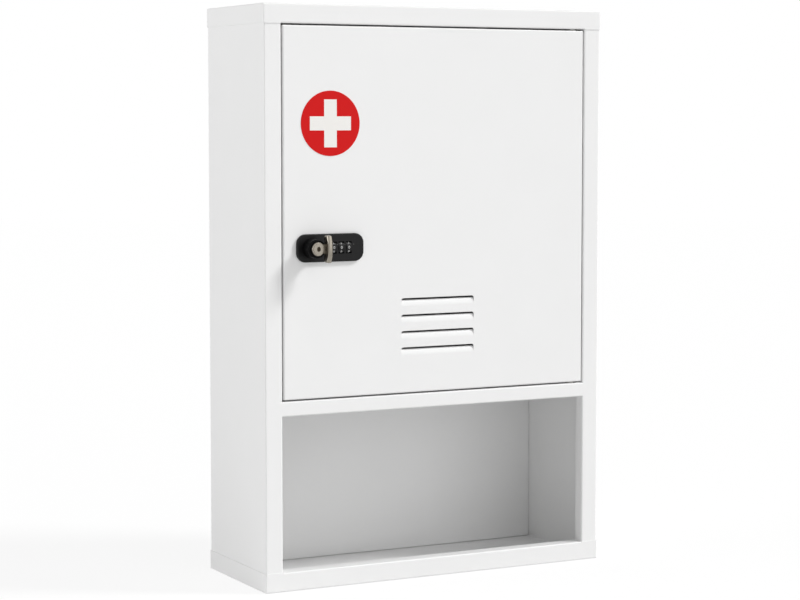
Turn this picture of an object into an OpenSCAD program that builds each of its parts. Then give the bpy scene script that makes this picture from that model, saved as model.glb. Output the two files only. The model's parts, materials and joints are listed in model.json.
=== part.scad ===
// Lockable wall cabinet for medicines, folded from thin steel sheet.
// An open shelf lies below a locked compartment with a louvred door.
// Front faces -Y, up is +Z, and the origin is the middle of the base.

/* [Cabinet] */
// Outside width
cabinet_w = 300; // [260:5:400]
// Outside height
cabinet_h = 450; // [430:5:600]
// Outside depth, without the lock
cabinet_d = 110; // [100:5:180]
// Thickness of the steel sheet
sheet = 0.6; // [0.5:0.1:0.8]
// Inside radius of every bend in the sheet
bend_r = 0.6; // [0.4:0.1:0.8]

/* [Front frame] */
// Height of the edge of the top cap and of the bottom tray
rail_h = 15; // [12:1:20]
// Width of the frame beside the openings
stile_w = 15; // [13:1:20]
// Depth of the lip that turns back round each opening
lip_d = 10.5; // [9:0.5:11]
// Width of the return behind each side lip, which the lock's cam catches
return_w = 8; // [6:0.5:10]
// Width of the flange along the back of each side
rear_flange_w = 12; // [8:1:20]
// How far the side panels reach into the cap and into the tray
side_reach = 10; // [6:1:10]

/* [Compartments] */
// Clear height of the open shelf
open_h = 120.6; // [90:0.6:140]
// Height of the divider's front edge
divider_h = 11.4; // [10:0.2:16]
// Height of the inner shelf above the divider
shelf_up = 142; // [135:1:180]
// Distance of the inner shelf's front edge from the door's front
shelf_setback = 28.4; // [25:0.2:40]
// Height of the inner shelf's turned-down front edge
shelf_front_h = 12; // [8:1:16]
// Height of the inner shelf's turned-up back edge
shelf_back_h = 10; // [6:1:16]
// Clearance of the inner shelf at each side wall
shelf_gap = 0.5; // [0.3:0.1:1.5]
// Width of each leg of the angles that carry the inner shelf
angle_leg = 12; // [8:1:16]

/* [Wall fixing] */
// Distance between the wall holes from side to side
wall_hole_w = 200; // [150:5:230]
// Distance between the wall holes up and down
wall_hole_h = 200; // [150:5:230]
// Height of the lower wall holes above the divider
wall_hole_up = 30; // [20:1:50]
// Radius of the wall holes
wall_hole_r = 3; // [2:0.5:4]

/* [Door] */
// Gap round the door
door_gap = 1.2; // [1.0:0.1:1.6]
// Depth of the door's folded edges
door_depth = 12; // [11.5:0.5:13]
// Width of the returns behind the door's edges
door_return_w = 8; // [5:0.5:9]

/* [Louvres] */
// Number of louvres pressed into the door
louvre_count = 4; // [2:1:5]
// Length of a louvre
louvre_len = 65; // [40:1:90]
// Distance from one louvre to the next
louvre_pitch = 12.9; // [10.5:0.1:14]
// Height of a louvre
louvre_h = 6.8; // [6:0.1:9]
// Depth to which a louvre's upper edge would reach without its slit
louvre_depth = 2.8; // [1.8:0.1:3.2]
// Height of the slit left open at the top of a louvre
louvre_slit = 1.5; // [0.8:0.1:2]
// Corner radius at the top of a louvre
louvre_corner_r = 1.8; // [1:0.1:2.2]
// Height of the lowest louvre above the door's lower edge
louvre_up = 29; // [18:0.2:44]

/* [Hinge] */
// Radius of the hinge pins
pin_r = 2; // [1.5:0.1:2.2]
// Distance from the door's side edge to the pin's axis
pin_side = 9; // [8:0.5:10]
// Distance from the door's front to the pin's axis
pin_back = 4; // [4:0.1:4.2]
// How far a pin reaches into the door
pin_reach = 7; // [5:0.5:10]
// Radius of a pin's head
pin_head_r = 2.7; // [2.4:0.1:2.7]
// Height of a pin's head
pin_head_h = 1.5; // [1:0.1:3]
// Wall of the nylon bush round each pin
bush_wall = 0.9; // [0.7:0.1:1]
// Length of the bush inside the door
bush_len = 6; // [4:0.5:9]
// Radius of the bush's collar, which shows in the door gap
collar_r = 3.5; // [3.3:0.1:3.7]

/* [Door stops] */
// Height of a stop bracket
stop_h = 14; // [10:1:20]
// Distance of each stop from the end of the door
stop_end = 30; // [20:1:60]
// How far a stop reaches in behind the door
stop_reach = 9; // [8:0.5:11]
// Radius of a rubber bumper
bumper_r = 3.2; // [2.5:0.1:3.5]
// Thickness of a rubber bumper
bumper_t = 2; // [1.6:0.1:3]

/* [Lock plate] */
// Width of the lock's plate
plate_w = 56.6; // [55:0.2:60]
// Height of the lock's plate
plate_h = 21.6; // [20:0.2:26]
// Thickness of the plate in front of the door
plate_t = 2.5; // [2:0.1:3]
// Corner radius of the plate
plate_r = 7.5; // [5:0.5:9]
// Radius of the plate's softened front edge
plate_edge_r = 0.8; // [0.4:0.1:1.2]
// Distance from the door's free edge to the end of the plate
lock_in = 10.6; // [9:0.2:36]
// Height of the lock above the door's lower edge
lock_up = 116; // [100:0.2:125]
// Width of the plate's rim round the lock's body
plate_rim = 2.9; // [2.6:0.1:3.1]
// Wall of the lock's back case
case_wall = 1.4; // [1:0.1:2]
// Depth of the back case behind the door's front
case_d = 11.2; // [11:0.1:11.4]
// Radius of the lock's two screws
screw_r = 1.2; // [0.9:0.1:1.5]

/* [Number wheels] */
// Number of wheels
wheel_count = 3; // [3:1:3]
// Radius of a number wheel
wheel_r = 5.8; // [5.2:0.1:6]
// Width of a number wheel
wheel_w = 4.2; // [3.6:0.1:4.6]
// Distance from one wheel to the next
wheel_pitch = 6.4; // [6.2:0.1:6.6]
// Distance from the plate's right end to the middle wheel
wheels_in = 19.3; // [19:0.1:19.6]
// How far the axle reaches into the housing beside the outer wheels
axle_hold = 2.5; // [1.5:0.1:2.5]
// How far a wheel stands in front of the plate
wheel_proud = 0.7; // [0.4:0.1:1]
// Height of the window in front of a wheel
window_h = 9.3; // [8:0.1:9.8]
// Radius of the wheels' axle
axle_r = 1; // [0.8:0.1:1.4]
// Radius of the grooves between the numbers
groove_r = 0.45; // [0.3:0.05:0.6]

/* [Knob] */
// Distance from the plate's left end to the knob's axis
knob_in = 11.6; // [11.2:0.1:11.8]
// Radius of the black collar round the knob
collar_out_r = 7.3; // [6.8:0.1:8]
// How far the collar stands in front of the plate
collar_len = 11.1; // [10:0.1:13]
// Depth of the collar's seat in the plate
collar_seat = 0.6; // [0.4:0.1:1]
// Radius of the knob's barrel
barrel_r = 5.2; // [5:0.1:5.4]
// Radius of the ring round the key plug
ring_r = 5.2; // [5.1:0.1:5.6]
// Thickness of that ring
ring_t = 2; // [1.6:0.1:2.6]
// Radius of the ring's softened front edge
ring_edge_r = 0.6; // [0.3:0.1:0.8]
// Thickness of the finger wing
wing_t = 3.9; // [3.5:0.1:4.2]
// Height of the finger wing
wing_h = 20.8; // [18:0.2:24]
// Distance from the knob's axis to the wing's near face
wing_off = 5.4; // [5:0.1:5.8]
// How far the wing stands in front of the collar
wing_out = 8; // [6:0.1:9]
// Rise of the wing's curved front edge
wing_bow = 1.4; // [0.8:0.1:2]
// Corner radius of the wing
wing_corner_r = 2.4; // [1:0.1:3]
// Radius of the wing's long front edge beside the knob
wing_near_r = 2.2; // [1.2:0.1:2.4]
// Radius of the wing's other edges
wing_edge_r = 1; // [0.6:0.1:1.2]
// Depth of the hollow in the wing's near face
wing_hollow = 0.5; // [0.3:0.1:1.5]
// Height of that hollow
wing_hollow_h = 17; // [14:0.5:20]
// Rise of the wing's curved outer face
wing_belly = 0.9; // [0.4:0.1:1.4]
// Thickness of the web between the ring and the wing
web_t = 0.7; // [0.5:0.1:1]
// Height of that web
web_h = 7; // [5:0.5:9]
// Radius of the key plug
plug_r = 4.2; // [3.8:0.05:4.25]
// How far the key plug stands in front of its ring
plug_proud = 0.3; // [0.2:0.1:0.6]
// Width of the keyway
key_w = 3; // [1.6:0.1:3.2]
// Height of the keyway
key_h = 3.8; // [3.4:0.1:4.6]

/* [Cam] */
// Thickness of the cam
cam_t = 2; // [1.5:0.1:3]
// Width of the cam
cam_w = 10; // [9:0.5:12]
// Reach of the cam from the knob's axis
cam_reach = 28; // [26:0.5:30]
// Side of the square that drives the cam
cam_square = 6; // [5:0.1:6.4]
// Radius of the cam screw's head
cam_head_r = 4; // [3.4:0.1:4.6]
// Height of the cam screw's head
cam_head_h = 2.2; // [1.5:0.1:3]

/* [Fits] */
// Radial clearance of a turning pin or barrel
run_fit = 0.05; // [0.02:0.01:0.08]
// Gap between parts that move past each other
rest_gap = 0.3; // [0.2:0.05:0.4]

/* [Hidden] */
$fn = 48;

// Planes of the cabinet: the cap and the tray reach over the side panels,
// and the back panel lies in front of the side panels' rear flanges
front_y = -cabinet_d / 2;
back_y = cabinet_d / 2;
frame_y = front_y + sheet;
frame_x = cabinet_w / 2 - sheet;
inside_x = frame_x - sheet;
inside_back_y = back_y - 3 * sheet;
fold_r = bend_r + sheet;
past = 1; // how far a cut runs past the face it starts from
weld_w = 0.75 * fold_r; // width of the weld in the groove beside a fold
opening_w = cabinet_w - 2 * stile_w;
lip_y = frame_y + lip_d;

// Levels of the divider, the inner shelf and the top rail
divider_z = rail_h + open_h;
divider_top_z = divider_z + divider_h;
shelf_z = divider_top_z + shelf_up;
rail_z = cabinet_h - rail_h;

// Door
door_w = opening_w - 2 * door_gap;
door_low_z = divider_top_z + door_gap;
door_h = rail_z - door_gap - door_low_z;
door_mid_z = door_low_z + door_h / 2;
door_back_y = frame_y + door_depth;
pin_x = door_w / 2 - pin_side;
pin_y = frame_y + pin_back;
bush_r = pin_r + run_fit + bush_wall;

// Louvre: an arc that starts a hair in front of the sheet, so that it meets it cleanly
press_start = 0.02;
press_r = (louvre_h * louvre_h + pow(louvre_depth + press_start, 2))
    / (2 * (louvre_depth + press_start));

// Lock, measured from its middle on the door's front face
lock_x = lock_in + plate_w / 2 - door_w / 2;
lock_z = door_low_z + lock_up;
body_w = plate_w - 2 * plate_rim;
body_h = plate_h - 2 * plate_rim;
body_r = body_h / 4;
knob_off = plate_w / 2 - knob_in;
wheels_off = plate_w / 2 - wheels_in;
case_floor_d = case_d - case_wall;
collar_front_d = -plate_t - collar_len;
screw_wall = 3.5;
screw_offs = [wheels_off - wheel_pitch - wheel_w / 2 - screw_wall, body_w / 2 - screw_wall];
screw_len = 7;
screw_head_r = 2.2;
screw_head_h = 0.9;

// Number wheels
wheel_d = wheel_r - plate_t - wheel_proud;
wheel_room = wheel_r + rest_gap;
numbers = 10;
groove_axis_r = wheel_r + groove_r / 3; // the grooves are shallower than half round
wheel_offs = [for (i = [0 : wheel_count - 1])
    wheels_off + (i - (wheel_count - 1) / 2) * wheel_pitch];
pocket_w = wheel_w + 2 * rest_gap;
axle_len = (wheel_count - 1) * wheel_pitch + wheel_w + 2 * axle_hold;
spring_t = 0.3;
spring_w = 4;
spring_end = 1; // how far the axle runs past the spring at each end
spring_len = axle_len - 2 * spring_end;

// Knob and cam
ring_back_d = collar_front_d - rest_gap;
ring_front_d = ring_back_d - ring_t;
wing_front_d = collar_front_d - wing_out;
plug_back_d = -plate_t - rest_gap;
key_depth = 6;
cam_gap = 0.4; // gap between the door's returns and the cam
cam_front_d = door_depth + cam_gap;
cam_back_d = cam_front_d + cam_t;
cam_screw_r = 1.6;
cam_screw_len = 8;

white = "#eeeeee";
black = "#232324";
nickel = "#b3ab9f";
steel = "#c4c6c8";
nylon = "#dcdcd6";
rubber = "#3a3a3a";

// ---- Shapes that several sub-parts use ----

// Rectangle with true round corners
module round_rect(w, h, r) {
    square([w - 2 * r, h], center = true);
    square([w, h - 2 * r], center = true);
    for (sx = [-1, 1], sy = [-1, 1])
        translate([sx * (w / 2 - r), sy * (h / 2 - r)]) circle(r = r);
}

// Block whose edges are all rounded
module soft_block(w, d, h, r) {
    intersection() {
        linear_extrude(h, center = true) round_rect(w, d, r);
        rotate([90, 0, 0]) linear_extrude(d, center = true) round_rect(w, h, r);
        rotate([90, 0, 90]) linear_extrude(w, center = true) round_rect(d, h, r);
    }
}

// Pan of sheet with four folded sides, open at z = 0 and closed at z = h
module pan(w, d, h) {
    intersection() {
        difference() {
            soft_block(w, d, 2 * h, fold_r);
            soft_block(w - 2 * sheet, d - 2 * sheet, 2 * (h - sheet), bend_r);
        }
        translate([-w, -d, 0]) cube([2 * w, 2 * d, 2 * h]);
    }
}

// Section of a sheet folded square at each inner point of its middle line
module folded(points) {
    last = len(points) - 1;
    mid_r = bend_r + sheet / 2;
    for (i = [0 : last - 1]) {
        step = points[i + 1] - points[i];
        along = step / norm(step);
        start = points[i] + (i == 0 ? 0 : mid_r) * along;
        end = points[i + 1] - (i + 1 == last ? 0 : mid_r) * along;
        half = sheet / 2 * [abs(along[1]), abs(along[0])];
        low = [min(start[0], end[0]), min(start[1], end[1])] - half;
        high = [max(start[0], end[0]), max(start[1], end[1])] + half;
        translate(low) square(high - low);
    }
    for (i = [1 : last - 1]) {
        before = (points[i] - points[i - 1]) / norm(points[i] - points[i - 1]);
        after = (points[i + 1] - points[i]) / norm(points[i + 1] - points[i]);
        corner = before - after;
        translate(points[i] - mid_r * corner) intersection() {
            difference() {
                circle(r = fold_r);
                circle(r = bend_r);
            }
            translate(fold_r * [min(0, corner[0]), min(0, corner[1])]) square(fold_r);
        }
    }
}

// A section drawn in Y and Z, run along X over a length about the middle
module along_x(len) {
    rotate([90, 0, 90]) linear_extrude(len, center = true) children();
}

// A section drawn in X and Z, run along Y from one place to another
module along_y(from, to) {
    translate([0, to, 0]) rotate([90, 0, 0]) linear_extrude(to - from) children();
}

// Round bars along Y and X
module bar_y(r, from, to) {
    translate([0, from, 0]) rotate([-90, 0, 0]) cylinder(r = r, h = to - from);
}
module bar_x(r, from, to) {
    translate([from, 0, 0]) rotate([0, 90, 0]) cylinder(r = r, h = to - from);
}

// Plate on z = 0 with round corners and a softened upper edge
module edged_plate(w, h, t, corner, edge) {
    module rim(half) {
        square([half - edge, t]);
        square([half, t - edge]);
        translate([half - edge, t - edge]) circle(r = edge);
    }
    module both_rims(half) {
        rim(half);
        mirror([1, 0]) rim(half);
    }
    for (sx = [-1, 1], sy = [-1, 1])
        translate([sx * (w / 2 - corner), sy * (h / 2 - corner), 0])
            rotate_extrude() intersection() {
                rim(corner);
                square([corner, t]);
            }
    rotate([90, 0, 90]) linear_extrude(w - 2 * corner, center = true)
        both_rims(h / 2);
    rotate([90, 0, 0]) linear_extrude(h - 2 * corner, center = true)
        both_rims(w / 2);
}

// Ring that stands out to the front from y = 0, its outer front edge softened
module soft_ring(inner, outer, len, edge) {
    rotate([90, 0, 0]) rotate_extrude() {
        translate([inner, 0]) square([outer - inner, len - edge]);
        translate([inner, 0]) square([outer - edge - inner, len]);
        translate([outer - edge, len - edge]) intersection() {
            circle(r = edge);
            square(edge);
        }
    }
}

// ---- Cabinet ----

// Cap or tray: a pan whose front edge turns back as a lip at the opening
module rail_pan() {
    difference() {
        pan(cabinet_w, cabinet_d, rail_h);
        translate([-opening_w / 2, front_y - past, -past])
            cube([opening_w, past + sheet, past + fold_r]);
    }
    along_x(opening_w) folded([
        [front_y + sheet / 2, rail_h / 2],
        [front_y + sheet / 2, sheet / 2],
        [lip_y, sheet / 2]]);
}

module top_cap() {
    color(white) difference() {
        translate([0, 0, rail_z]) rail_pan();
        translate([pin_x, pin_y, rail_z - past]) cylinder(r = pin_r, h = sheet + 2 * past);
    }
}

module bottom_tray() {
    color(white) translate([0, 0, rail_h]) mirror([0, 0, 1]) rail_pan();
}

// Side sheet with its front flange, lip and return, and its rear flange
module side_panel() {
    low_z = rail_h - side_reach;
    translate([0, 0, low_z]) linear_extrude(cabinet_h - 2 * low_z) folded([
        [-opening_w / 2 - return_w, lip_y - sheet / 2],
        [-opening_w / 2 - sheet / 2, lip_y - sheet / 2],
        [-opening_w / 2 - sheet / 2, frame_y + sheet / 2],
        [-frame_x + sheet / 2, frame_y + sheet / 2],
        [-frame_x + sheet / 2, back_y - sheet * 3 / 2],
        [-frame_x + rear_flange_w, back_y - sheet * 3 / 2]]);
}

module left_side_panel() {
    color(white) side_panel();
}

module right_side_panel() {
    color(white) mirror([1, 0, 0]) side_panel();
}

module back_panel() {
    color(white) difference() {
        along_y(inside_back_y, inside_back_y + sheet)
            translate([0, cabinet_h / 2])
                square([2 * (inside_x - bend_r), cabinet_h - 2 * fold_r], center = true);
        for (sx = [-1, 1], up = [0, 1])
            translate([sx * wall_hole_w / 2, 0, divider_top_z + wall_hole_up + up * wall_hole_h])
                bar_y(wall_hole_r, inside_back_y - past, back_y);
    }
}

// Weld in the groove between the divider's front and the left stile, ground flush
module stile_weld() {
    intersection() {
        translate([-opening_w / 2 - weld_w, frame_y, divider_z]) linear_extrude(divider_h)
            difference() {
                square(weld_w);
                translate([weld_w - fold_r, fold_r]) circle(r = fold_r);
            }
        along_x(cabinet_w) translate([frame_y + lip_d, (divider_z + divider_top_z) / 2])
            round_rect(2 * lip_d, divider_h, fold_r);
    }
}

// Divider: front edge with its lip, then a full-width floor with side flanges
module divider_shelf() {
    color(white) difference() {
        union() {
            along_x(opening_w) folded([
                [lip_y, divider_top_z - sheet / 2],
                [frame_y + sheet / 2, divider_top_z - sheet / 2],
                [frame_y + sheet / 2, divider_z + sheet / 2],
                [lip_y, divider_z + sheet / 2]]);
            stile_weld();
            mirror([1, 0, 0]) stile_weld();
            along_y(lip_y, inside_back_y) folded([
                [-inside_x + sheet / 2, divider_z],
                [-inside_x + sheet / 2, divider_top_z - sheet / 2],
                [inside_x - sheet / 2, divider_top_z - sheet / 2],
                [inside_x - sheet / 2, divider_z]]);
        }
        translate([pin_x, pin_y, divider_top_z - sheet - past])
            cylinder(r = pin_r, h = sheet + 2 * past);
    }
}

module shelf_angle() {
    along_y(frame_y + shelf_setback + fold_r, inside_back_y) folded([
        [-inside_x + sheet / 2, shelf_z - angle_leg],
        [-inside_x + sheet / 2, shelf_z - sheet / 2],
        [-inside_x + angle_leg, shelf_z - sheet / 2]]);
}

module left_shelf_angle() {
    color(white) shelf_angle();
}

module right_shelf_angle() {
    color(white) mirror([1, 0, 0]) shelf_angle();
}

module inner_shelf() {
    edge_y = frame_y + shelf_setback + sheet / 2;
    color(white) along_x(2 * (inside_x - shelf_gap)) folded([
        [edge_y, shelf_z - shelf_front_h],
        [edge_y, shelf_z + sheet / 2],
        [inside_back_y - sheet / 2, shelf_z + sheet / 2],
        [inside_back_y - sheet / 2, shelf_z + shelf_back_h]]);
}

// ---- Door stops on the latch side ----

stop_zs = [door_low_z + stop_end, door_low_z + door_h - stop_end];
stop_y = door_back_y + rest_gap + bumper_t;
bumper_x = -door_w / 2 + door_return_w / 2;

module door_stops() {
    step_x = -opening_w / 2 - return_w / 2;
    color(steel) for (z = stop_zs)
        translate([0, 0, z - stop_h / 2]) linear_extrude(stop_h) folded([
            [-opening_w / 2 - return_w, lip_y + sheet / 2],
            [step_x, lip_y + sheet / 2],
            [step_x, stop_y + sheet / 2],
            [-opening_w / 2 + stop_reach, stop_y + sheet / 2]]);
}

module stop_bumpers() {
    color(rubber) for (z = stop_zs)
        translate([bumper_x, 0, z]) bar_y(bumper_r, stop_y - bumper_t, stop_y);
}

// ---- Hinge pins and bushes ----

// Pin on z = 0 with its head below the sheet it is riveted in
module hinge_pin(len) {
    translate([0, 0, -sheet - pin_head_h]) cylinder(r = pin_head_r, h = pin_head_h);
    translate([0, 0, -sheet]) cylinder(r = pin_r, h = sheet + len);
}

// Nylon bush with its collar in the door gap, its mouth at z = 0
module hinge_bush() {
    difference() {
        union() {
            translate([0, 0, rest_gap]) cylinder(r = collar_r, h = door_gap - rest_gap);
            translate([0, 0, rest_gap]) cylinder(r = bush_r, h = door_gap - rest_gap + bush_len);
        }
        cylinder(r = pin_r + run_fit, h = door_gap + bush_len + past);
    }
}

module at_lower_hinge() {
    translate([pin_x, pin_y, divider_top_z]) children();
}

module at_upper_hinge() {
    translate([pin_x, pin_y, rail_z]) mirror([0, 0, 1]) children();
}

module upper_hinge_pin() {
    color(steel) at_upper_hinge() hinge_pin(door_gap + pin_reach);
}

module lower_hinge_pin() {
    color(steel) at_lower_hinge() hinge_pin(door_gap + pin_reach);
}

module upper_hinge_bush() {
    color(nylon) at_upper_hinge() hinge_bush();
}

module lower_hinge_bush() {
    color(nylon) at_lower_hinge() hinge_bush();
}

// ---- Door ----

// Front outline of a louvre: round corners at the top, square at the foot
module louvre_outline() {
    half = louvre_len / 2;
    r = louvre_corner_r;
    translate([-half, 0]) square([2 * half, louvre_h - r]);
    translate([r - half, 0]) square([2 * (half - r), louvre_h]);
    for (sx = [-1, 1])
        translate([sx * (half - r), louvre_h - r]) circle(r = r);
}

// Space in front of a louvre's curve, which leaves the door's front at the foot and
// is deepest at the top; set_back moves the curve back, for the flap's rear face
module louvre_form(from, set_back) {
    deepest = louvre_depth + 2 * sheet;
    intersection() {
        along_y(from, deepest) louvre_outline();
        along_x(louvre_len + 2 * past) difference() {
            translate([-past, 0]) square([past + deepest, louvre_h + past]);
            translate([press_r - press_start, 0]) circle(r = press_r - set_back);
        }
    }
}

module at_louvres() {
    for (i = [0 : louvre_count - 1])
        translate([0, frame_y, door_low_z + louvre_up + i * louvre_pitch]) children();
}

// Each louvre is a flap cut free at its top and ends and curved inwards from its foot
module door_panel() {
    color(white) difference() {
        union() {
            translate([0, door_back_y, door_mid_z]) rotate([90, 0, 0])
                pan(door_w, door_h, door_depth);
            at_louvres() louvre_form(sheet / 2, sheet);
            translate([0, 0, door_mid_z]) along_y(door_back_y - sheet, door_back_y)
                difference() {
                    square([door_w, door_h], center = true);
                    square([door_w - 2 * door_return_w, door_h - 2 * door_return_w], center = true);
                }
        }
        at_louvres() {
            louvre_form(-past, 0);
            translate([-louvre_len / 2, sheet, louvre_h - louvre_slit])
                cube([louvre_len, louvre_depth + 2 * sheet, louvre_slit + past]);
        }
        at_lock() along_y(-past, sheet + past)
            round_rect(body_w + 2 * rest_gap, body_h + 2 * rest_gap, body_r);
        for (z = [door_low_z - past, door_low_z + door_h - sheet - past])
            translate([pin_x, pin_y, z]) cylinder(r = bush_r, h = sheet + 2 * past);
    }
}

// ---- Lock ----

module at_lock() {
    translate([lock_x, frame_y, lock_z]) children();
}

module at_knob() {
    translate([lock_x - knob_off, frame_y, lock_z]) children();
}

module lock_housing() {
    color(black) at_lock() difference() {
        union() {
            rotate([90, 0, 0]) edged_plate(plate_w, plate_h, plate_t, plate_r, plate_edge_r);
            along_y(-plate_t / 2, case_floor_d) round_rect(body_w, body_h, body_r);
        }
        translate([-knob_off, 0, 0]) {
            bar_y(barrel_r + run_fit, -plate_t - past, case_d);
            bar_y(collar_out_r + run_fit, -plate_t - past, collar_seat - plate_t);
        }
        for (x = wheel_offs) translate([x, 0, 0]) {
            along_y(-plate_t - past, wheel_d) square([pocket_w, window_h], center = true);
            translate([0, wheel_d, 0]) bar_x(wheel_room, -pocket_w / 2, pocket_w / 2);
            along_y(wheel_d, case_d) square([pocket_w, 2 * wheel_room], center = true);
        }
        translate([wheels_off, wheel_d, 0]) bar_x(axle_r, -axle_len / 2, axle_len / 2);
        along_y(case_floor_d - spring_t, case_d)
            translate([wheels_off, 0]) square([spring_len, spring_w], center = true);
        for (x = screw_offs) translate([x, 0, 0])
            bar_y(screw_r, case_d - screw_len, case_d);
    }
}

module knob_collar() {
    color(black) at_knob() translate([0, collar_seat - plate_t, 0])
        soft_ring(barrel_r + run_fit, collar_out_r, collar_seat + collar_len, plate_edge_r);
}

module lock_back_case() {
    color(black) at_lock() difference() {
        along_y(sheet, case_d)
            round_rect(body_w + 2 * case_wall, body_h + 2 * case_wall, body_r + case_wall);
        along_y(0, case_floor_d) round_rect(body_w, body_h, body_r);
        translate([-knob_off, 0, 0]) bar_y(barrel_r + run_fit, 0, case_d + past);
        for (x = screw_offs) translate([x, 0, 0]) bar_y(screw_r, 0, case_d + past);
    }
}

module lock_screws() {
    color(steel) at_lock() for (x = screw_offs) translate([x, 0, 0]) {
        bar_y(screw_r, case_d - screw_len, case_d);
        bar_y(screw_head_r, case_d, case_d + screw_head_h);
    }
}

module wheel_axle() {
    color(steel) at_lock() translate([wheels_off, wheel_d, 0])
        bar_x(axle_r, -axle_len / 2, axle_len / 2);
}

// Leaf spring on the case floor, with one arch behind each wheel
module detent_spring() {
    arch_r = case_floor_d - wheel_d - wheel_r - rest_gap;
    color(steel) at_lock() {
        along_y(case_floor_d - spring_t, case_floor_d)
            translate([wheels_off, 0]) square([spring_len, spring_w], center = true);
        for (x = wheel_offs) translate([x, case_floor_d, 0]) intersection() {
            difference() {
                bar_x(arch_r, -wheel_w / 2, wheel_w / 2);
                bar_x(arch_r - spring_t, -wheel_w, wheel_w);
            }
            translate([-wheel_w, -arch_r, -arch_r]) cube([2 * wheel_w, arch_r, 2 * arch_r]);
        }
    }
}

// Wheel for ten numbers, with a grip groove between each two
module number_wheel(place) {
    color(black) at_lock() translate([wheel_offs[place], wheel_d, 0]) difference() {
        bar_x(wheel_r, -wheel_w / 2, wheel_w / 2);
        bar_x(axle_r + run_fit, -wheel_w, wheel_w);
        for (i = [0 : numbers - 1])
            rotate([(i + 0.5) * 360 / numbers, 0, 0])
                translate([0, -groove_axis_r, 0]) bar_x(groove_r, -wheel_w, wheel_w);
    }
}

module number_wheel_1() {
    number_wheel(0);
}

module number_wheel_2() {
    number_wheel(1);
}

module number_wheel_3() {
    number_wheel(2);
}

// Radius of a curve that rises by a set amount over a chord
function curve_r(chord, rise) = (chord * chord / 4 + rise * rise) / (2 * rise);

// Finger wing: a blade with a bowed front, a curved outer face and a hollow near face
module wing() {
    depth = ring_back_d - wing_front_d;
    bow_r = curve_r(wing_h, wing_bow);
    belly_r = curve_r(wing_h, wing_belly);
    hollow_r = curve_r(wing_hollow_h, wing_hollow);
    translate([wing_off, 0, 0]) difference() {
        intersection() {
            translate([0, wing_front_d + bow_r, 0]) rotate([0, 90, 0])
                rotate_extrude($fn = 180) {
                    square([bow_r - wing_near_r, wing_t]);
                    translate([0, wing_near_r])
                        square([bow_r - wing_edge_r, wing_t - wing_near_r]);
                    translate([0, wing_near_r])
                        square([bow_r, wing_t - wing_near_r - wing_edge_r]);
                    translate([bow_r - wing_near_r, wing_near_r]) circle(r = wing_near_r);
                    translate([bow_r - wing_edge_r, wing_t - wing_edge_r])
                        circle(r = wing_edge_r);
                }
            translate([wing_t / 2, 0, 0]) along_x(wing_t)
                translate([ring_back_d - depth / 2, 0]) round_rect(depth, wing_h, wing_corner_r);
            along_y(wing_front_d, ring_back_d) intersection() {
                translate([wing_t / 2, 0]) round_rect(wing_t, wing_h, wing_edge_r);
                translate([wing_t - belly_r, 0]) circle(r = belly_r, $fn = 180);
            }
        }
        translate([wing_hollow - hollow_r, 0, 0])
            bar_y(hollow_r, wing_front_d - past, ring_back_d + past, $fn = 180);
    }
}

module knob() {
    color(nickel) at_knob() difference() {
        union() {
            translate([0, ring_back_d, 0]) soft_ring(plug_r, ring_r, ring_t, ring_edge_r);
            bar_y(barrel_r, ring_back_d, case_d + rest_gap);
            along_y(case_d, cam_back_d) square(cam_square, center = true);
            along_y(ring_back_d - web_t, ring_back_d)
                translate([0, -web_h / 2]) square([wing_off + wing_t - wing_edge_r, web_h]);
            wing();
        }
        bar_y(plug_r + run_fit, wing_front_d - past, plug_back_d);
        bar_y(cam_screw_r, cam_back_d - cam_screw_len, cam_back_d + past);
    }
}

// Tongue that hangs down and swings behind the frame's return
module lock_cam() {
    color(steel) at_knob() along_y(cam_front_d, cam_back_d) difference() {
        union() {
            circle(r = cam_w / 2);
            translate([-cam_w / 2, cam_w / 2 - cam_reach]) square([cam_w, cam_reach - cam_w / 2]);
            translate([0, cam_w / 2 - cam_reach]) circle(r = cam_w / 2);
        }
        square(cam_square, center = true);
    }
}

module cam_screw() {
    color(steel) at_knob() {
        bar_y(cam_screw_r, cam_back_d - cam_screw_len, cam_back_d);
        bar_y(cam_head_r, cam_back_d, cam_back_d + cam_head_h);
    }
}

module key_plug() {
    front_d = ring_front_d - plug_proud;
    color(nickel) at_knob() difference() {
        bar_y(plug_r, front_d, plug_back_d - rest_gap);
        along_y(front_d - past, front_d + key_depth) {
            square([key_w, key_h - key_w], center = true);
            for (side = [-1, 1]) translate([0, side * (key_h - key_w) / 2]) circle(r = key_w / 2);
        }
    }
}

top_cap();
bottom_tray();
left_side_panel();
right_side_panel();
back_panel();
divider_shelf();
left_shelf_angle();
right_shelf_angle();
inner_shelf();
door_stops();
stop_bumpers();
upper_hinge_pin();
lower_hinge_pin();
door_panel();
upper_hinge_bush();
lower_hinge_bush();
lock_housing();
knob_collar();
lock_back_case();
lock_screws();
wheel_axle();
detent_spring();
number_wheel_1();
number_wheel_2();
number_wheel_3();
knob();
lock_cam();
cam_screw();
key_plug();
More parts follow.
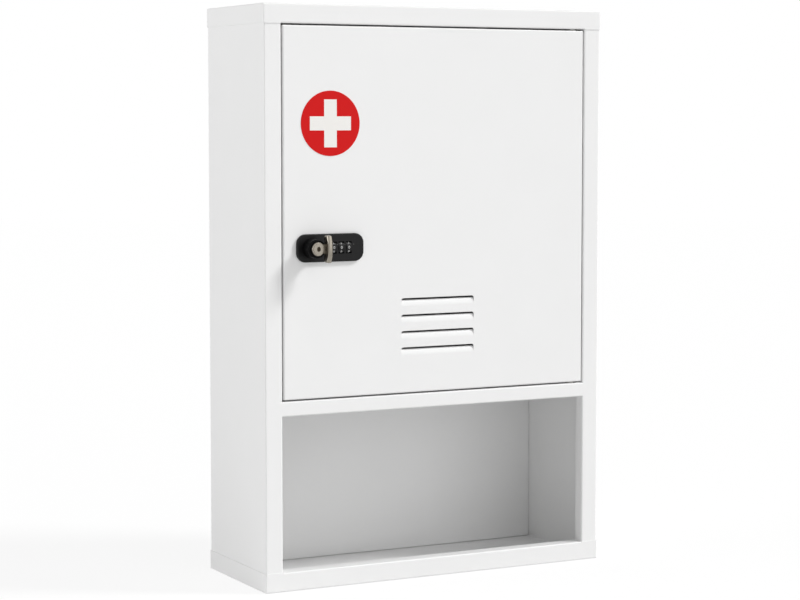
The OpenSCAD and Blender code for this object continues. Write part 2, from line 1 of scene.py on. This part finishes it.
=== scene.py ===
# Lockable medicine cabinet: finishes, first-aid sign, wheel numbers, studio
import json
import math
import bmesh
import bpy
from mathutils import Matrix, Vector


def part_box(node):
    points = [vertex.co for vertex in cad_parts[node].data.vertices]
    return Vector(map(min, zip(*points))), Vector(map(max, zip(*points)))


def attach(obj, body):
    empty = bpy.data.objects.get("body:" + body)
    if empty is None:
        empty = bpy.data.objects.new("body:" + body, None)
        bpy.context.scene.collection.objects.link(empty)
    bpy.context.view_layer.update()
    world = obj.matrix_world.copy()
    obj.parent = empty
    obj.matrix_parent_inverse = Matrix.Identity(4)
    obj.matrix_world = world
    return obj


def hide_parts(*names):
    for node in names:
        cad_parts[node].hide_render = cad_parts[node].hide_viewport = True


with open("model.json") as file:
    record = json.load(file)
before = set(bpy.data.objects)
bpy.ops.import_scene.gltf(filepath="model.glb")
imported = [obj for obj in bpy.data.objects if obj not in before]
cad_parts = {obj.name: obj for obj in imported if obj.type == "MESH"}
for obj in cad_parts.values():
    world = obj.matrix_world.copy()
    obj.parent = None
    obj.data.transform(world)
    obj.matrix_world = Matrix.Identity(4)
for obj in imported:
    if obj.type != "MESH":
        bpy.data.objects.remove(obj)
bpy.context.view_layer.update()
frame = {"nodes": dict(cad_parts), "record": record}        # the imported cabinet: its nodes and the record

nodes = frame["nodes"]
mm = 0.001

# camera of the photo
cameraView = {
    "lens": 99.289,
    "sensor": 36,
    "shiftY": -0.02,
    "near": 0.01,           # nothing closer than this is drawn
    "place": (-0.83065, -1.57907, 0.36522),     # in metres, as near is
    "turnRight": 27.5942,   # degrees from straight ahead
    "lookDown": 4.3608,
}


def makeCamera(view):
    data = bpy.data.cameras.new("photoCamera")
    data.lens = view["lens"]
    data.sensor_width = view["sensor"]
    data.shift_y = view["shiftY"]
    data.clip_start = view["near"]
    camera = bpy.data.objects.new("photoCamera", data)
    camera.location = view["place"]
    camera.rotation_euler = (math.radians(90 - view["lookDown"]), 0,
                             -math.radians(view["turnRight"]))
    bpy.context.scene.collection.objects.link(camera)
    bpy.context.scene.camera = camera


makeCamera(cameraView)
print("camera placed")

# white room, a key lamp low from the right and soft light on the front and left
studio = {
    "roomLight": 0.405,      # what the white room gives every surface
    "lamps": {               # where each comes from, its power, its width in degrees
        "keyLamp": ((0.66, -0.37, 0.645), 2.25, 12),
        "frontLamp": ((0.24, -0.96, 0.14), 0.70, 60),
        "sideLamp": ((-0.95, 0.24, 0.14), 1.34, 40),
    },
    "floorRadius": 6.0,
    "floorSides": 96,
    "floorDrop": 0.0002,     # just below the cabinet's base
    "floorBounce": 0.78,     # how much light the floor sends back to the cabinet
    "floorSeen": 1.0,        # how light the camera sees it
    "floorGlow": 0.86,       # share of plain white in what the camera sees
}


def seenDirectly(tree):
    # 1 for rays from the camera, mirror rays and rays through clear material
    path = tree.nodes.new("ShaderNodeLightPath")
    first = tree.nodes.new("ShaderNodeMath")
    first.operation = "MAXIMUM"
    tree.links.new(path.outputs["Is Camera Ray"], first.inputs[0])
    tree.links.new(path.outputs["Is Glossy Ray"], first.inputs[1])
    both = tree.nodes.new("ShaderNodeMath")
    both.operation = "MAXIMUM"
    tree.links.new(first.outputs[0], both.inputs[0])
    tree.links.new(path.outputs["Is Transmission Ray"], both.inputs[1])
    return both.outputs[0]


def mixInto(tree, share, first, second, outKind):
    # the output of a world or material: first, with a share of second
    mix = tree.nodes.new("ShaderNodeMixShader")
    tree.links.new(share, mix.inputs[0])
    tree.links.new(first.outputs[0], mix.inputs[1])
    tree.links.new(second.outputs[0], mix.inputs[2])
    tree.links.new(mix.outputs[0], tree.nodes.new(outKind).inputs["Surface"])


def whiteBackground(tree, strength):
    background = tree.nodes.new("ShaderNodeBackground")
    background.inputs["Color"].default_value = (1, 1, 1, 1)
    background.inputs["Strength"].default_value = strength
    return background


def makeRoom(values):
    world = bpy.data.worlds.new("whiteRoom")
    bpy.context.scene.world = world
    world.use_nodes = True
    tree = world.node_tree
    tree.nodes.clear()
    mixInto(tree, seenDirectly(tree), whiteBackground(tree, values["roomLight"]),
            whiteBackground(tree, 1), "ShaderNodeOutputWorld")


def makeLamp(name, comesFrom, power, softness):
    data = bpy.data.lights.new(name, "SUN")
    data.energy = power
    data.angle = math.radians(softness)
    lamp = bpy.data.objects.new(name, data)
    lamp.rotation_euler = Vector(comesFrom).to_track_quat("Z", "Y").to_euler()
    bpy.context.scene.collection.objects.link(lamp)


def makeFloor(values):
    mesh = bpy.data.meshes.new("studioFloor")
    bm = bmesh.new()
    bmesh.ops.create_circle(bm, cap_ends=True, segments=values["floorSides"],
                            radius=values["floorRadius"])
    bm.to_mesh(mesh)
    bm.free()
    floor = bpy.data.objects.new("studioFloor", mesh)
    floor.location = (0, 0, -values["floorDrop"])
    bpy.context.scene.collection.objects.link(floor)
    material = bpy.data.materials.new("floorWhite")
    material.use_nodes = True
    tree = material.node_tree
    tree.nodes.clear()
    shade = tree.nodes.new("ShaderNodeMapRange")
    shade.inputs["To Min"].default_value = values["floorBounce"]
    shade.inputs["To Max"].default_value = values["floorSeen"]
    tree.links.new(seenDirectly(tree), shade.inputs["Value"])
    matt = tree.nodes.new("ShaderNodeBsdfDiffuse")
    tree.links.new(shade.outputs[0], matt.inputs["Color"])
    glow = tree.nodes.new("ShaderNodeEmission")
    glow.inputs["Strength"].default_value = 1
    share = tree.nodes.new("ShaderNodeMath")
    share.operation = "MULTIPLY"
    share.inputs[1].default_value = values["floorGlow"]
    tree.links.new(seenDirectly(tree), share.inputs[0])
    mixInto(tree, share.outputs[0], matt, glow, "ShaderNodeOutputMaterial")
    mesh.materials.append(material)


makeRoom(studio)
for name, (comesFrom, power, softness) in studio["lamps"].items():
    makeLamp(name, comesFrom, power, softness)
makeFloor(studio)
bpy.context.scene.view_settings.view_transform = "Standard"
print("studio ready")


# finishes; every size in them is in metres on the object itself
noiseSpan = (0.3, 0.7)       # most of a noise lies between these


def startFinish(name):
    material = bpy.data.materials.new(name)
    material.use_nodes = True
    tree = material.node_tree
    place = tree.nodes.new("ShaderNodeTexCoord").outputs["Object"]
    return material, tree, tree.nodes["Principled BSDF"], place


def grain(tree, place, size, detail, stretch=(1, 1, 1)):
    # noise whose lumps are about size metres across
    mapping = tree.nodes.new("ShaderNodeMapping")
    mapping.inputs["Scale"].default_value = stretch
    tree.links.new(place, mapping.inputs["Vector"])
    lumps = tree.nodes.new("ShaderNodeTexNoise")
    lumps.inputs["Scale"].default_value = 1 / size
    lumps.inputs["Detail"].default_value = detail
    tree.links.new(mapping.outputs[0], lumps.inputs["Vector"])
    return lumps.outputs["Fac"]


def spread(tree, value, low, high):
    # noise spread over low to high
    ranged = tree.nodes.new("ShaderNodeMapRange")
    ranged.inputs["From Min"].default_value = noiseSpan[0]
    ranged.inputs["From Max"].default_value = noiseSpan[1]
    ranged.inputs["To Min"].default_value = low
    ranged.inputs["To Max"].default_value = high
    tree.links.new(value, ranged.inputs["Value"])
    return ranged.outputs[0]


def tint(tree, shader, value, colour, dark):
    # base colour that the noise takes from its dark share up to the full colour
    ramp = tree.nodes.new("ShaderNodeValToRGB")
    for end, share, at in zip(ramp.color_ramp.elements, (dark, 1), noiseSpan):
        end.position = at
        end.color = (*(c * share for c in colour), 1)
    tree.links.new(value, ramp.inputs[0])
    tree.links.new(ramp.outputs[0], shader.inputs["Base Color"])


def relief(tree, shader, value, depth, under=None):
    bump = tree.nodes.new("ShaderNodeBump")
    bump.inputs["Strength"].default_value = 1
    bump.inputs["Distance"].default_value = depth
    tree.links.new(value, bump.inputs["Height"])
    if under:
        tree.links.new(under, bump.inputs["Normal"])
    tree.links.new(bump.outputs[0], shader.inputs["Normal"])
    return bump.outputs[0]


powderCoat = {
    "colour": (0.845, 0.845, 0.843),
    "dark": 0.988,           # darkest share of the colour in the slow clouds
    "cloudSize": 0.045,
    "cloudDetail": 3,
    "peelSize": 0.0018,      # orange-peel waves of the baked powder
    "peelDetail": 1.5,
    "peelDepth": 0.000010,
    "fineSize": 0.0005,
    "fineDetail": 1,
    "fineDepth": 0.0000018,
    "roughness": (0.36, 0.46),
    "ior": 1.48,
}


def makePowderCoat(values):
    material, tree, shader, place = startFinish("whitePowderCoat")
    clouds = grain(tree, place, values["cloudSize"], values["cloudDetail"])
    tint(tree, shader, clouds, values["colour"], values["dark"])
    peel = grain(tree, place, values["peelSize"], values["peelDetail"])
    fine = grain(tree, place, values["fineSize"], values["fineDetail"])
    tree.links.new(spread(tree, fine, *values["roughness"]), shader.inputs["Roughness"])
    first = relief(tree, shader, peel, values["peelDepth"])
    relief(tree, shader, fine, values["fineDepth"], first)
    shader.inputs["IOR"].default_value = values["ior"]
    return material


# mouldings; the sparks are the spark-eroded texture of the mould
mouldings = {
    "mouldedBlack": {"colour": (0.0040, 0.0040, 0.0042), "dark": 0.80, "sparkSize": 0.00045,
                     "sparkDepth": 0.000012, "roughness": (0.30, 0.42), "shine": 0.20},
    # knob collar: the housing's black painted darker, as painted shade; it is also rougher and shines less
    "collarPaintedShade": {"colour": (0.0035, 0.0035, 0.0037), "dark": 0.80, "sparkSize": 0.00045,
                    "sparkDepth": 0.000012, "roughness": (0.40, 0.52), "shine": 0.06},
    "wheelBlack": {"colour": (0.0060, 0.0060, 0.0062), "dark": 0.85, "sparkSize": 0.0007,
                   "sparkDepth": 0.000004, "roughness": (0.34, 0.44), "shine": 0.22},
    # hinge bushes: natural nylon painted down to grey, as painted shade for the narrow door gap they sit in
    "nylonPaintedShade": {"colour": (0.30, 0.295, 0.275), "dark": 0.95, "sparkSize": 0.0008,
                     "sparkDepth": 0.000004, "roughness": (0.42, 0.52), "shine": 0.5},
    "softRubber": {"colour": (0.035, 0.034, 0.033), "dark": 0.75, "sparkSize": 0.0006,
                   "sparkDepth": 0.000015, "roughness": (0.62, 0.78), "shine": 0.4},
}
mouldGrain = {"sparkDetail": 2.5, "mottleSize": 0.003, "mottleDetail": 3}


def makeMoulded(name):
    values = {**mouldGrain, **mouldings[name]}
    material, tree, shader, place = startFinish(name)
    spark = grain(tree, place, values["sparkSize"], values["sparkDetail"])
    mottle = grain(tree, place, values["mottleSize"], values["mottleDetail"])
    tint(tree, shader, mottle, values["colour"], values["dark"])
    tree.links.new(spread(tree, spark, *values["roughness"]), shader.inputs["Roughness"])
    relief(tree, shader, spark, values["sparkDepth"])
    shader.inputs["Specular IOR Level"].default_value = values["shine"]
    return material


metals = {
    "satinNickel": {"colour": (0.305, 0.278, 0.235), "dark": 0.84, "roughness": (0.22, 0.36),
                    "lineSize": 0.00035, "lineDepth": 0.0000022,
                    "stretch": (1, 1, 0.06)},       # brushing lines run up and down
    "zincPlate": {"colour": (0.60, 0.61, 0.63), "dark": 0.80, "roughness": (0.28, 0.46),
                  "lineSize": 0.0012, "lineDepth": 0.000003, "stretch": (1, 1, 1)},
}
metalGrain = {"lineDetail": 3, "mottleSize": 0.0025, "mottleDetail": 4}


def makeMetal(name):
    values = {**metalGrain, **metals[name]}
    material, tree, shader, place = startFinish(name)
    shader.inputs["Metallic"].default_value = 1
    lines = grain(tree, place, values["lineSize"], values["lineDetail"], values["stretch"])
    mottle = grain(tree, place, values["mottleSize"], values["mottleDetail"])
    tint(tree, shader, mottle, values["colour"], values["dark"])
    tree.links.new(spread(tree, lines, *values["roughness"]), shader.inputs["Roughness"])
    relief(tree, shader, lines, values["lineDepth"])
    return material


finishes = {
    "white_steel": makePowderCoat(powderCoat),
    "black_housing": makeMoulded("mouldedBlack"),
    "black_wheel": makeMoulded("wheelBlack"),
    "nickel": makeMetal("satinNickel"),
    "zinc_steel": makeMetal("zincPlate"),
    "nylon": makeMoulded("nylonPaintedShade"),
    "rubber": makeMoulded("softRubber"),
}
paintedShadeFinishes = {"knob_collar": makeMoulded("collarPaintedShade")}     # nodes given a darker, duller copy of their slot's finish: painted shade on the knob collar
for part in frame["record"]["subparts"]:
    finish = paintedShadeFinishes.get(part["node"], finishes[part["material_slot"]])
    for holder in nodes[part["node"]].material_slots:
        holder.material = finish
print("finishes on", len(nodes), "nodes")


def addPiece(name, bm, material, body):
    mesh = bpy.data.meshes.new(name)
    bm.to_mesh(mesh)
    bm.free()
    mesh.materials.append(material)
    piece = bpy.data.objects.new(name, mesh)
    bpy.context.scene.collection.objects.link(piece)
    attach(piece, body)
    return piece


firstAidSign = {
    "centre": (-93.9, 359.4),   # across the door and up, in mm
    "radius": 25.0,
    "thick": 0.25,
    "edge": 0.12,               # rounded rim of the vinyl
    "rimSteps": 4,
    "sides": 128,
    "crossWide": 34.9,
    "crossTall": 36.6,
    "crossArm": 10.7,
    "crossProud": 0.04,
    "red": (0.630, 0.0068, 0.0070),
    "white": (0.875, 0.858, 0.830),
    "roughness": (0.30, 0.38),
    "shine": 0.12,
    "peelSize": 0.0011,         # this and the next in metres
    "peelDepth": 0.000003,
}
filmGrain = {"inkSize": 0.0004, "inkDark": 0.96, "detail": 2}


def makeVinyl(name, colour, values):
    # printed or coloured film
    material, tree, shader, place = startFinish(name)
    ink = grain(tree, place, filmGrain["inkSize"], filmGrain["detail"])
    tint(tree, shader, ink, colour, filmGrain["inkDark"])
    peel = grain(tree, place, values["peelSize"], filmGrain["detail"])
    tree.links.new(spread(tree, peel, *values["roughness"]), shader.inputs["Roughness"])
    relief(tree, shader, peel, values["peelDepth"])
    shader.inputs["Specular IOR Level"].default_value = values["shine"]
    return material


def lathe(bm, profile, segments, middle):
    # turned form from (radius, height) points; height runs to the front
    angles = [2 * math.pi * i / segments for i in range(segments)]
    rings = []
    for radius, height in profile:
        around = angles if radius else [0]
        rings.append([bm.verts.new(middle + Vector((radius * math.cos(a), -height,
                                                    radius * math.sin(a)))) for a in around])
    for low, high in zip(rings, rings[1:]):
        for i in range(segments):
            j = (i + 1) % segments
            if len(low) == 1:
                bm.faces.new((low[0], high[i], high[j]))
            elif len(high) == 1:
                bm.faces.new((low[i], high[0], low[j]))
            else:
                bm.faces.new((low[i], high[i], high[j], low[j]))
    bmesh.ops.recalc_face_normals(bm, faces=bm.faces)
    return rings[-1]


def crossOutline(wide, tall, arm):
    # all three from the middle outwards
    return [(arm, tall), (-arm, tall), (-arm, arm), (-wide, arm), (-wide, -arm), (-arm, -arm),
            (-arm, -tall), (arm, -tall), (arm, -arm), (wide, -arm), (wide, arm), (arm, arm)]


def joinLoops(bm, upper, lower):
    # walls between two loops of corners
    for i in range(len(upper)):
        bm.faces.new((upper[i - 1], upper[i], lower[i], lower[i - 1]))


def makeSign(values):
    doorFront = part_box("door_panel")[0][1]
    middle = Vector((values["centre"][0] * mm, doorFront, values["centre"][1] * mm))
    radius, thick, edge = (values[size] * mm for size in ("radius", "thick", "edge"))
    turns = [k * math.pi / 2 / values["rimSteps"] for k in range(values["rimSteps"] + 1)]
    rim = [(radius - edge + edge * math.sin(a), thick - edge + edge * math.cos(a)) for a in turns]
    bm = bmesh.new()
    lathe(bm, [(0, thick), *rim, (radius, 0), (0, 0)], values["sides"], middle)
    red = makeVinyl("signRed", values["red"], values)
    addPiece("signDisc", bm, red, "door")
    corners = crossOutline(values["crossWide"] * mm / 2, values["crossTall"] * mm / 2,
                           values["crossArm"] * mm / 2)
    bm = bmesh.new()
    front, back = ([bm.verts.new(middle + Vector((x, -height, z))) for x, z in corners]
                   for height in (thick + values["crossProud"] * mm, thick / 2))
    bm.faces.new(front)
    bm.faces.new(back)
    joinLoops(bm, front, back)
    bmesh.ops.recalc_face_normals(bm, faces=bm.faces)
    white = makeVinyl("signWhite", values["white"], values)
    addPiece("signCross", bm, white, "door")


makeSign(firstAidSign)
print("sign on the door")

wheelNumbers = {
    "size": 3.1,             # font size in mm
    "bold": 0.05,
    "sunk": 0.06,
    "proud": 0.03,
    "curveSteps": 6,
    "weld": 0.0001,          # corners of a number closer than this are one
    "levelCuts": 6,          # above and below the middle, so that it bends round the wheel
    "count": 10,
    "firstUp": (0, 0, 0),    # number that faces the front on each wheel
    "colour": (0.52, 0.52, 0.51),
    "roughness": (0.45, 0.55),
    "shine": 0.3,
    "peelSize": 0.0004,      # this and the next in metres
    "peelDepth": 0.000003,
}


def flatDigit(digit, values):
    # outline of one number from the built-in font, as a thin closed plate
    curve = bpy.data.curves.new("digit", "FONT")
    curve.body = str(digit)
    curve.align_x = "CENTER"
    curve.align_y = "CENTER"
    curve.size = values["size"] * mm
    curve.offset = values["bold"] * mm
    curve.resolution_u = values["curveSteps"]
    curve.extrude = (values["sunk"] + values["proud"]) * mm / 2
    shape = bpy.data.objects.new("digit", curve)
    bpy.context.scene.collection.objects.link(shape)
    bpy.context.view_layer.update()
    mesh = bpy.data.meshes.new_from_object(
        shape.evaluated_get(bpy.context.evaluated_depsgraph_get()))
    bpy.data.objects.remove(shape)
    return mesh


def wrapDigits(name, wheel, first, material, values):
    low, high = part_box(wheel)
    centre = (Vector(low) + Vector(high)) / 2
    radius = (high[2] - low[2]) / 2
    level = (values["proud"] - values["sunk"]) * mm / 2
    cuts = values["levelCuts"]
    bm = bmesh.new()
    for digit in range(values["count"]):
        mesh = flatDigit(digit, values)
        part = bmesh.new()
        part.from_mesh(mesh)
        bpy.data.meshes.remove(mesh)
        bmesh.ops.remove_doubles(part, verts=part.verts, dist=values["weld"] * mm)
        tall = max(v.co.y for v in part.verts)
        for k in range(-cuts, cuts + 1):
            bmesh.ops.bisect_plane(part, geom=part.verts[:] + part.edges[:] + part.faces[:],
                                   plane_co=(0, tall * k / (cuts + 0.5), 0),
                                   plane_no=(0, 1, 0))
        turn = (digit - first) * 2 * math.pi / values["count"]
        for v in part.verts:
            angle = v.co.y / radius + turn
            out = radius + level + v.co.z
            v.co = centre + Vector((v.co.x, -out * math.cos(angle), out * math.sin(angle)))
        done = bpy.data.meshes.new("digit")
        part.to_mesh(done)
        part.free()
        bm.from_mesh(done)
        bpy.data.meshes.remove(done)
    bmesh.ops.recalc_face_normals(bm, faces=bm.faces)
    addPiece(name, bm, material, wheel)


numberPaint = makeVinyl("numberPaint", wheelNumbers["colour"], wheelNumbers)
for which, first in enumerate(wheelNumbers["firstUp"], 1):
    wrapDigits("numbers_%d" % which, "number_wheel_%d" % which, first, numberPaint,
               wheelNumbers)
print("numbers on the wheels")

indexDots = {
    "beside": (3.0, 2.9, 4.1),     # from each wheel's middle to its mark, in mm
    "up": 2.35,
    "radius": 0.42,
    "crown": 0.8,                  # share of the radius that is flat
    "thick": 0.05,
    "sides": 20,
    "colour": (0.075, 0.074, 0.072),
    "roughness": (0.45, 0.55),
    "shine": 0.3,
    "peelSize": 0.0004,            # this and the next in metres
    "peelDepth": 0.000003,
}


def makeDots(values):
    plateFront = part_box("lock_housing")[0][1]
    radius, thick = values["radius"] * mm, values["thick"] * mm
    profile = [(0, thick), (radius * values["crown"], thick), (radius, thick / 2),
               (radius, -thick), (0, -thick)]
    bm = bmesh.new()
    for which, beside in enumerate(values["beside"], 1):
        low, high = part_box("number_wheel_%d" % which)
        middle = Vector(((low[0] + high[0]) / 2 + beside * mm, plateFront,
                         (low[2] + high[2]) / 2 + values["up"] * mm))
        lathe(bm, profile, values["sides"], middle)
    addPiece("indexDots", bm, makeVinyl("dotPaint", values["colour"], values), "door")


makeDots(indexDots)
print("index dots on the plate")

# cross-recess heads that face the inside of the cabinet, in mm
screwForms = {
    "lock_screws": {"body": "door", "count": 2, "head": 2.2, "headHigh": 0.9, "shaft": 1.2,
                    "edge": 0.35, "recess": 1.25, "slot": 0.24, "deep": 0.6},
    "cam_screw": {"body": "knob", "count": 1, "head": 4.0, "headHigh": 2.2, "shaft": 1.6,
                  "edge": 0.8, "recess": 1.9, "slot": 0.36, "deep": 1.3},
}
screwShape = {"sides": 48, "rimSteps": 6, "tip": 0.7, "recessFoot": 0.8}


def makeScrews(node, values):
    low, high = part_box(node)
    length, foot = high[1] - low[1], screwShape["recessFoot"]
    head, edge, headHigh, shaft, reach, slot, deep = (values[size] * mm for size in (
        "head", "edge", "headHigh", "shaft", "recess", "slot", "deep"))
    steps = screwShape["rimSteps"]
    turns = [k * math.pi / 2 / steps for k in range(steps + 1)]
    rim = [(head - edge + edge * math.cos(a), edge - edge * math.sin(a)) for a in turns]
    profile = [(0, length), (shaft * screwShape["tip"], length), (shaft, length - shaft / 2),
               (shaft, headHigh), (head, headHigh), *rim]
    outline = crossOutline(reach, reach, slot)
    bm = bmesh.new()
    for across in (low[0] + head, high[0] - head)[:values["count"]]:
        face = Vector((across, high[1], (low[2] + high[2]) / 2))
        top = lathe(bm, profile, screwShape["sides"], face)
        upper = [bm.verts.new(face + Vector((x, 0, z))) for x, z in outline]
        lower = [bm.verts.new(face + Vector((x * foot, -deep, z * foot))) for x, z in outline]
        border = [bm.edges.get((top[i - 1], top[i])) for i in range(len(top))]
        border += [bm.edges.new((upper[i - 1], upper[i])) for i in range(len(upper))]
        bmesh.ops.triangle_fill(bm, use_beauty=True, edges=border)
        joinLoops(bm, upper, lower)
        bm.faces.new(lower)
    bmesh.ops.recalc_face_normals(bm, faces=bm.faces)
    piece = addPiece(node + "_cross", bm, finishes["zinc_steel"], values["body"])
    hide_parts(node)


for node, form in screwForms.items():
    makeScrews(node, form)
print("screws with their cross recesses")
